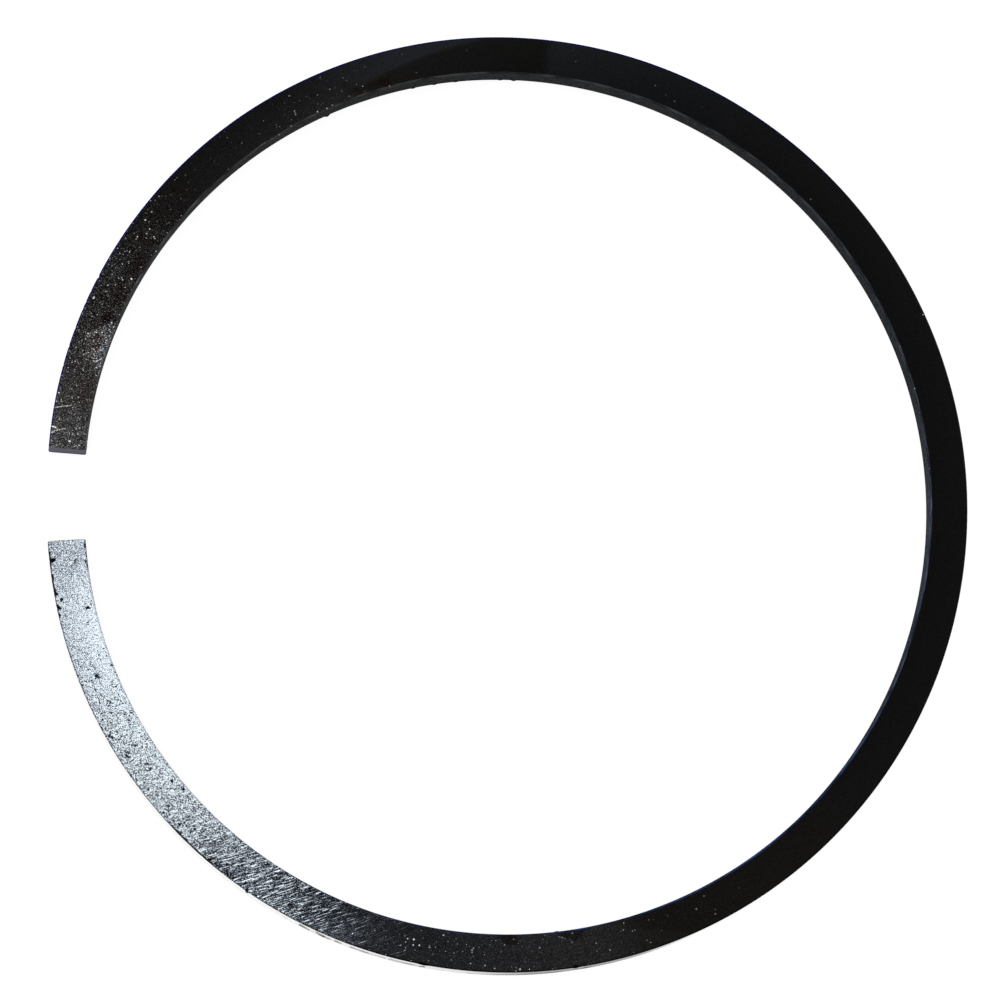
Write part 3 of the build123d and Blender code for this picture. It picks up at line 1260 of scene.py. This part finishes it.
@dataclass(frozen=True)
class UpperSideFinish(Finish):
    """The upper side: black ground metal with a painted reflection, bright at the lower end, that
    fades out along the bar.

    Every gain or loss is in stops, and every rim or border is a place along or across the bar.
    """

    name: str = "upper_side"
    scratch_glints: tuple[Mark, ...] = ()
    glint_specks: tuple[Mark, ...] = ()
    specular: float = 0.0
    relief: float = 0.012
    peak: float = 1.05
    grain_size: float = 0.115
    line_length: float = 1.4
    line_width: float = 0.115
    crest_from: float = 0.5
    crest_gain: float = 2.5
    # painted glints: short flecks along the grinding lines, and fine round specks
    flecks: SpotPattern = SpotPattern(0.23, 0.17, LINE_TURN, 1.5)
    fine_glint_specks: SpotPattern = SpotPattern(0.60, 0.28)
    # painted shade of fine pores, as dark spots with no relief
    pores: SpotPattern = SpotPattern(0.34, 0.25, LINE_TURN, 1.3, (31.0, 17.0, 0.0))
    pore_share: float = 0.80
    pores_from: Row = (8.0, 27.0)
    pores_until: Row = (46.0, 62.0)
    glint_fleck_gain: float = 6.5
    glint_speck_gain: float = 7.0
    placed_glint_gain: float = 8.0
    scratch_glint_gain: float = 7.0
    pore_shade_loss: float = 10.0
    hollow_shade_loss: float = 10.0
    # painted shade along the broken outer and inner edges, in stops
    outer_edge_shade: float = 3.2
    inner_edge_shade: float = 0.9
    rust_loss: float = 1.2
    rim_light: float = 0.027
    rim_edges: Row = (2.12, 2.20)
    rim_blue_until: Row = (125.0, 148.0)
    rim_blue_left: float = 0.4
    # a painted blue fringe of light along the outer edge break, from the top arc to the upper end
    painted_outer_fringe: Row = (0.004, 0.009, 0.15)
    painted_outer_fringe_from: Row = (205.0, 235.0)
    # where the painted reflection ends, and its tints up to its highlights
    past_reflection_from: Row = (57.0, 74.0)
    reflection_tint: Row = (0.87, 1.0, 1.22, 1.0)
    reflection_highlight_tint: Row = (0.905, 1.0, 1.085, 1.0)
    cool_tint: Row = (0.87, 0.98, 1.17, 1.0)
    warm_tint: Row = (1.12, 1.0, 0.88, 1.0)
    rust_tint: Row = (1.35, 0.80, 0.74, 1.0)

    def stops(self, sketch: NodeSketch, bar: Socket, place: Socket) -> tuple[Socket, Socket]:
        """Adds up the tone with the painted reflection, and every mark with the painted glints and
        shade, in stops.

        Args:
            sketch: The material's tree.
            bar: The place in bar coordinates.
            place: The place in the row frame.

        Returns:
            The stops, and the grain.
        """
        _, tone, grain_gain, line_gain = sketch.attribute("finish_and_reflection")
        _, hollow_shade, edge, rust = sketch.attribute("marks")
        _, glint_speck_share, glint_fleck_share, _ = sketch.attribute("glints_and_warmth")
        _, along, _, _ = sketch.attribute("bar")
        grain = MetalGrain().place(sketch, Place=place, Size=self.grain_size)
        lines = StraightLines().place(
            sketch, Place=place, Turn=LINE_TURN, Length=self.line_length, Width=self.line_width
        )
        crests = sketch.math("MAXIMUM", sketch.math("SUBTRACT", lines, self.crest_from), 0.0)
        crests = sketch.math("MULTIPLY", crests, self.crest_gain)
        lines = sketch.math("MULTIPLY_ADD", lines, 0.5, crests)
        no_rust = sketch.math("SUBTRACT", 1.0, rust)
        glint_fleck_share = sketch.math("MULTIPLY", glint_fleck_share, no_rust)
        pore_share = sketch.math(
            "MULTIPLY",
            sketch.step(along, *self.pores_from, 0.0, self.pore_share),
            sketch.step(along, *self.pores_until, 1.0, 0.0),
        )
        outer_edge = sketch.math("MAXIMUM", edge, 0.0)
        inner_edge = sketch.math("MAXIMUM", sketch.math("MULTIPLY", edge, -1.0), 0.0)
        parts = (
            # painted shade in the pores
            (self.pores.place(sketch, place, pore_share), -self.pore_shade_loss),
            (grain, grain_gain),
            (lines, line_gain),
            # painted glints: flecks, fine specks and the listed specks
            (self.flecks.place(sketch, place, glint_fleck_share), self.glint_fleck_gain),
            (self.fine_glint_specks.place(sketch, place, glint_speck_share), self.glint_speck_gain),
            (marked(sketch, bar, self.glint_specks), self.placed_glint_gain),
            # real scratches, painted bright as glints
            (marked(sketch, bar, self.scratch_glints), self.scratch_glint_gain),
            # painted shade in the pits and chips
            (hollow_shade, -self.hollow_shade_loss),
            # painted shade along the broken edges
            (outer_edge, -self.outer_edge_shade),
            (inner_edge, -self.inner_edge_shade),
            (rust, -self.rust_loss),
        )
        return sketch.total(tone, *(sketch.math("MULTIPLY", *part) for part in parts)), grain

    def inner_rim(self, sketch: NodeSketch, bar: Socket, across: Socket) -> Socket:
        """Draws the light that the broken inner edge catches, uneven along the bar.

        Args:
            sketch: The material's tree.
            bar: The place in bar coordinates.
            across: The place across the bar.

        Returns:
            A colour, black away from that edge.
        """
        _, _, light, blue = sketch.attribute("walls")
        _, along, _, _ = sketch.attribute("bar")
        inwards = sketch.math("MULTIPLY", across, -1.0)
        rim = sketch.step(inwards, *self.rim_edges, 0.0, self.rim_light)
        uneven = StraightLines().place(sketch, Place=bar, Turn=0.0, Length=2.5, Width=0.4)
        uneven = sketch.math("MAXIMUM", sketch.math("MULTIPLY_ADD", uneven, 0.45, 1.0), 0.5)
        total = sketch.math("MULTIPLY", sketch.math("MULTIPLY", rim, light), uneven)
        blue_left = sketch.step(along, *self.rim_blue_until, 1.0, self.rim_blue_left)
        blue = sketch.math("MULTIPLY", blue, blue_left)
        return sketch.scaled(sketch.mix_colour(blue, WALL_GREY, RIM_BLUE), total)

    def draw(self, sketch: NodeSketch) -> dict[str, Feed]:
        """Draws the tone in stops, turns it into light and tints it.

        Args:
            sketch: The material's tree.

        Returns:
            What feeds Base Color, Roughness, Height and Metallic.
        """
        bar, along, across, _ = sketch.attribute("bar")
        _, tone, _, _ = sketch.attribute("finish_and_reflection")
        _, _, edge, rust = sketch.attribute("marks")
        _, _, _, warmth = sketch.attribute("glints_and_warmth")
        stops, grain = self.stops(sketch, bar, sketch.place_mm())
        light = sketch.math("POWER", 2.0, stops)
        shoulder = sketch.math("ADD", sketch.math("DIVIDE", light, self.peak), 1.0)
        light = sketch.math("MINIMUM", sketch.math("DIVIDE", light, shoulder), 0.97)
        # tints of the painted reflection, and of the black metal past it
        tint = sketch.mix_colour(sketch.step(light, 0.1, 0.8), self.reflection_tint, self.reflection_highlight_tint)
        warm_share = sketch.math("MULTIPLY_ADD", warmth, 0.5, 0.5, clamp=True)
        dark_tint = sketch.mix_colour(warm_share, self.cool_tint, self.warm_tint)
        tint = sketch.mix_colour(sketch.step(along, *self.past_reflection_from), tint, dark_tint)
        tint = sketch.mix_colour(rust, tint, self.rust_tint)
        colour = sketch.scaled(tint, light)
        colour = sketch.vector("MAXIMUM", colour, self.inner_rim(sketch, bar, across))
        # the painted blue fringe of light along the outer edge break
        outer_edge = sketch.math("MAXIMUM", edge, 0.0)
        outer_fringe_share = sketch.math("MULTIPLY", outer_edge, sketch.step(along, *self.painted_outer_fringe_from))
        colour = sketch.vector("MAXIMUM", colour, sketch.scaled(self.painted_outer_fringe, outer_fringe_share))
        plain_light = sketch.math("POWER", 2.0, sketch.math("MINIMUM", tone, 0.0))
        # the broken edges don't gleam as metal, so that they stay dark at a low angle
        inwards = sketch.math("MULTIPLY", across, -1.0)
        inner_metal = sketch.step(inwards, *self.rim_edges, 1.0, 0.0)
        outer_metal = sketch.step(outer_fringe_share, 0.0, 0.3, 1.0, 0.0)
        return {
            "Base Color": colour,
            "Roughness": sketch.math("MULTIPLY_ADD", light, 0.25, 0.28),
            "Height": sketch.math("MULTIPLY", grain, sketch.math("MULTIPLY", plain_light, 0.25)),
            "Metallic": sketch.math("MULTIPLY", inner_metal, outer_metal),
        }


@dataclass(frozen=True)
class PlainFinish(Finish):
    """A finish of one colour with grain, and lines that run along the bar.

    Attributes:
        colour: The plain colour.
        worn_colour: The colour of the crests of the grain and the lines.
        shaded_foot_height: Height up to which the foot of the surface has painted shade.
        shaded_foot_light: Its light there, where 1 leaves it as it is.
    """

    colour: Row = (0.1, 0.1, 0.1, 1.0)
    worn_colour: Row = (0.2, 0.2, 0.2, 1.0)
    grain_size: float = 0.3
    grain_share: float = 0.5
    line_share: float = 0.5
    line_length: float = 9.0
    line_width: float = 0.12
    roughness: float = 0.4
    shaded_foot_height: float = 0.0
    shaded_foot_light: float = 1.0

    def draw(self, sketch: NodeSketch) -> dict[str, Feed]:
        """Mixes the plain and the worn colour by the grain and the lines.

        Args:
            sketch: The material's tree.

        Returns:
            What feeds Base Color, Roughness and Height.
        """
        bar, _, _, height = sketch.attribute("bar")
        grain = MetalGrain().place(sketch, Place=bar, Size=self.grain_size)
        lines = StraightLines().place(
            sketch, Place=bar, Turn=0.0, Length=self.line_length, Width=self.line_width
        )
        pattern = sketch.total(
            sketch.math("MULTIPLY", grain, self.grain_share * 0.5),
            sketch.math("MULTIPLY", lines, self.line_share * 0.5),
            0.5,
        )
        share = sketch.math("MINIMUM", sketch.math("MAXIMUM", pattern, 0.0), 1.0)
        colour = sketch.mix_colour(share, self.colour, self.worn_colour)
        # painted shade at the foot of the surface
        shaded_foot_edges = (self.shaded_foot_height * 0.5, self.shaded_foot_height + 0.01)
        foot = sketch.step(height, *shaded_foot_edges, self.shaded_foot_light, 1.0)
        return {
            "Base Color": sketch.scaled(colour, foot),
            "Roughness": sketch.math("MULTIPLY_ADD", share, 0.12, self.roughness),
            "Height": pattern,
        }


@dataclass(frozen=True)
class WallFinish(PlainFinish):
    """A wall of the bar, whose light changes along the bar.

    Attributes:
        edge: Which wall it is.
        smears: Dark smears, by their places along and in height.
        smear_colour: The colour of the darkest smear.
        smear_squeeze: Share of their height that they are measured in, so that they lie flat.
        hollow_shade_light: Light left under the painted shade of a chip, and on a darkened nib,
            where 1 leaves it as it is.
    """

    edge: Edge = Edge.OUTER
    smears: tuple[Mark, ...] = ()
    smear_colour: Row = (0.075, 0.045, 0.035, 1.0)
    smear_roughness: float = 0.8
    smear_squeeze: float = 0.25
    streak_length: float = 2.2
    streak_width: float = 0.4
    streak_gain: float = 0.6
    hollow_shade_light: float = 0.1

    def draw(self, sketch: NodeSketch) -> dict[str, Feed]:
        """Adds the change of light, the smears, the painted shade of the chips and the darkened
        nibs to the plain finish.

        Args:
            sketch: The material's tree.

        Returns:
            What feeds Base Color, Roughness and Height, and Metallic and Coat Weight outside.
        """
        looks = super().draw(sketch)
        bar, along, _, height = sketch.attribute("bar")
        _, hollow_shade, _, _ = sketch.attribute("marks")
        _, outer, inner, blue = sketch.attribute("walls")
        colour = looks["Base Color"]
        shaded = sketch.step(hollow_shade, 0.0, 1.0, 1.0, self.hollow_shade_light)
        if self.edge is Edge.INNER:
            tint = sketch.mix_colour(blue, WALL_GREY, WALL_BLUE)
            colour = sketch.vector("MULTIPLY", colour, sketch.scaled(tint, inner))
            return {**looks, "Base Color": sketch.scaled(colour, shaded)}
        side = sketch.combined(along, sketch.math("MULTIPLY", height, self.smear_squeeze))
        smears = tuple(smear.squeezed(self.smear_squeeze) for smear in self.smears)
        streaks = StraightLines().place(
            sketch, Place=bar, Turn=0.0, Length=self.streak_length, Width=self.streak_width
        )
        streaks = sketch.math("MULTIPLY_ADD", streaks, self.streak_gain, 1.0)
        smeared = sketch.math("MULTIPLY", marked(sketch, side, smears), streaks)
        smeared = sketch.math("MINIMUM", sketch.math("MAXIMUM", smeared, 0.0), 1.0)
        clean = sketch.math("SUBTRACT", 1.0, smeared)
        clean = sketch.math("MULTIPLY", sketch.math("MULTIPLY", clean, outer), shaded)
        changed = {
            "Base Color": sketch.mix_colour(clean, self.smear_colour, colour),
            "Roughness": sketch.step(clean, 0.0, 1.0, self.smear_roughness, self.roughness),
        }
        return {**looks, **changed, "Metallic": clean, "Coat Weight": clean}


LOWER_SIDE = PlainFinish(
    "lower_side",
    colour=(0.006, 0.006, 0.006, 1.0),
    worn_colour=(0.012, 0.012, 0.013, 1.0),
    roughness=0.3,
)
OUTER_FACE = WallFinish(
    "outer_face",
    specular=0.0,
    colour=(0.56, 0.56, 0.57, 1.0),
    worn_colour=(0.86, 0.86, 0.87, 1.0),
    grain_share=0.06,
    line_share=0.6,
    line_width=0.24,
    roughness=0.25,
)
INNER_FACE = WallFinish(
    "inner_face",
    edge=Edge.INNER,
    metallic=0.0,
    specular=0.0,
    colour=(0.026, 0.026, 0.026, 1.0),
    worn_colour=(0.052, 0.052, 0.052, 1.0),
    roughness=0.65,
    shaded_foot_height=0.6,
    shaded_foot_light=0.7,
)
END_FACE = PlainFinish(
    "end_face",
    metallic=0.0,
    specular=0.05,
    colour=(0.12, 0.12, 0.155, 1.0),
    worn_colour=(0.16, 0.16, 0.20, 1.0),
    grain_share=0.2,
    line_share=0.2,
    roughness=0.6,
    shaded_foot_height=1.2,
    shaded_foot_light=0.35,
)


@dataclass
class SealRing:
    """The seal ring: its bar, bent to the free shape, and its finishes."""

    node: str = "seal_ring"
    sizes: RingSizes = field(default_factory=RingSizes)
    wear_and_light: WearAndPaintedLight = field(default_factory=lambda: WearAndPaintedLight(RingSizes()))

    def finishes(self) -> dict[Zone, Finish]:
        """Gives the finish of each zone."""
        wear_and_light = self.wear_and_light
        return {
            Zone.UPPER_SIDE: UpperSideFinish(scratch_glints=wear_and_light.scratch_glints, glint_specks=wear_and_light.glint_specks),
            Zone.OUTER_FACE: replace(OUTER_FACE, smears=wear_and_light.smears),
            Zone.LOWER_SIDE: LOWER_SIDE,
            Zone.INNER_FACE: INNER_FACE,
            Zone.END_FACE: END_FACE,
        }

    def build(self) -> bpy.types.Object:
        """Builds the ring, dresses it and sets it in place of its CAD node.

        Returns:
            The piece.
        """
        low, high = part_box(self.node)
        bar = RingBar(self.sizes, FreeShape(self.sizes, low, high), self.wear_and_light)
        piece = add_object("worn_seal_ring", bar.mesh("worn_seal_ring"))
        finishes = self.finishes()
        for zone in Zone:
            piece.data.materials.append(finishes[zone].material())
        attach(piece, "root")
        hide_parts(self.node)
        triangles = sum(len(face.vertices) - 2 for face in piece.data.polygons)
        LOG.info("%s: %d triangles, stands for %s", piece.name, triangles, self.node)
        return piece


@dataclass
class Studio:
    """Pale floor, plain soft light and a white room, in metres and watts."""

    floor_size: float = 8.0
    floor_drop: float = 0.02 * MM
    floor_grey: Row = (0.22, 0.22, 0.22, 1.0)
    floor_glow: float = 0.88
    world_strength: float = 0.85
    lamp_power: float = 3.0
    lamp_size: float = 0.9
    lamp_place: Row = (-0.75, 0.45, 0.8)

    def seen(self, sketch: NodeSketch) -> Socket:
        """Gives 1 for camera, glossy and transmission rays, and 0 for the others.

        Args:
            sketch: The tree that asks.

        Returns:
            The share of plain white.
        """
        path = sketch.add("ShaderNodeLightPath").outputs
        seen = sketch.math("MAXIMUM", path["Is Camera Ray"], path["Is Glossy Ray"])
        return sketch.math("MAXIMUM", seen, path["Is Transmission Ray"])

    def build_world(self) -> None:
        """Sets a white world that lights at a plain level."""
        world = bpy.data.worlds.new("white_room")
        sketch = start_sketch(world)
        strength = sketch.step(self.seen(sketch), 0.0, 1.0, self.world_strength, 1.0)
        white = {"Color": (1.0, 1.0, 1.0, 1.0), "Strength": strength}
        background = sketch.add("ShaderNodeBackground", white)
        sketch.add("ShaderNodeOutputWorld", {"Surface": background.outputs[0]})
        bpy.context.scene.world = world

    def build_floor(self) -> bpy.types.Object:
        """Lays the pale floor just below the ring.

        Returns:
            The floor.
        """
        half = self.floor_size / 2
        mesh = bpy.data.meshes.new("floor")
        corners = [(-half, -half, 0), (half, -half, 0), (half, half, 0), (-half, half, 0)]
        mesh.from_pydata(corners, [], [(0, 1, 2, 3)])
        floor = add_object("floor", mesh)
        floor.location.z = cad_box[0].z - self.floor_drop
        material = bpy.data.materials.new("pale_floor")
        sketch = start_sketch(material)
        diffuse = sketch.add("ShaderNodeBsdfDiffuse", {"Color": self.floor_grey})
        glow_strength = sketch.math("MULTIPLY", self.seen(sketch), self.floor_glow)
        glow = sketch.add("ShaderNodeEmission", {"Strength": glow_strength})
        both = sketch.add("ShaderNodeAddShader", {0: diffuse.outputs[0], 1: glow.outputs[0]})
        sketch.add("ShaderNodeOutputMaterial", {"Surface": both.outputs[0]})
        mesh.materials.append(material)
        return floor

    def build_lamp(self) -> bpy.types.Object:
        """Hangs one large soft lamp to the left, out of the way of the ring's reflection.

        Returns:
            The lamp.
        """
        data = bpy.data.lights.new("soft_lamp", "AREA")
        data.shape = "DISK"
        data.size = self.lamp_size
        data.energy = self.lamp_power
        lamp = add_object("soft_lamp", data)
        lamp.location = self.lamp_place
        lamp.rotation_euler = (-lamp.location).to_track_quat("-Z", "Y").to_euler()
        return lamp


@dataclass(frozen=True)
class PhotoCamera:
    """The camera, where the photograph was taken from.

    Attributes:
        azimuth: Direction of the camera from its aim, in degrees from +X.
        elevation: Its height above the horizon, in degrees.
        distance: Its distance from its aim.
        lens: Its focal length, in millimetres.
        sensor: Width of its sensor, in millimetres.
        aim: The point that it looks at.
        aim_pixel: Where that point lies in the photograph.
        picture_size: Width and height of the photograph, in pixels.
    """

    azimuth: float = -115.770
    elevation: float = 79.761
    distance: float = 871.402 * MM
    lens: float = 248.288
    sensor: float = 36.0
    aim: Row = (-0.1505 * MM, 0.0, 4.0 * MM)
    aim_pixel: Row = (509.035, 499.562)
    picture_size: float = 1000.0

    def build(self) -> bpy.types.Object:
        """Builds the camera and makes it the scene's.

        Returns:
            The camera.
        """
        azimuth, elevation = math.radians(self.azimuth), math.radians(self.elevation)
        level = math.cos(elevation)
        back = Vector((math.cos(azimuth) * level, math.sin(azimuth) * level, math.sin(elevation)))
        right = Vector((0.0, 1.0, 0.0)).cross(back).normalized()
        turn = Matrix((right, back.cross(right), back)).transposed().to_4x4()
        data = bpy.data.cameras.new("photo_camera")
        data.sensor_width = self.sensor
        data.lens = self.lens
        data.shift_x = 0.5 - self.aim_pixel[0] / self.picture_size
        data.shift_y = self.aim_pixel[1] / self.picture_size - 0.5
        data.clip_start, data.clip_end = 0.01, 20.0
        camera = add_object("photo_camera", data)
        camera.matrix_world = Matrix.Translation(Vector(self.aim) + back * self.distance) @ turn
        bpy.context.scene.camera = camera
        return camera


def main() -> None:
    """Builds the ring, the studio and the camera, in that order."""
    logging.basicConfig(level=logging.INFO, format="%(name)s: %(message)s")
    SealRing().build()
    studio = Studio()
    studio.build_world()
    studio.build_floor()
    studio.build_lamp()
    PhotoCamera().build()
    bpy.context.scene.view_settings.view_transform = "Standard"


if __name__ == "__main__":
    main()
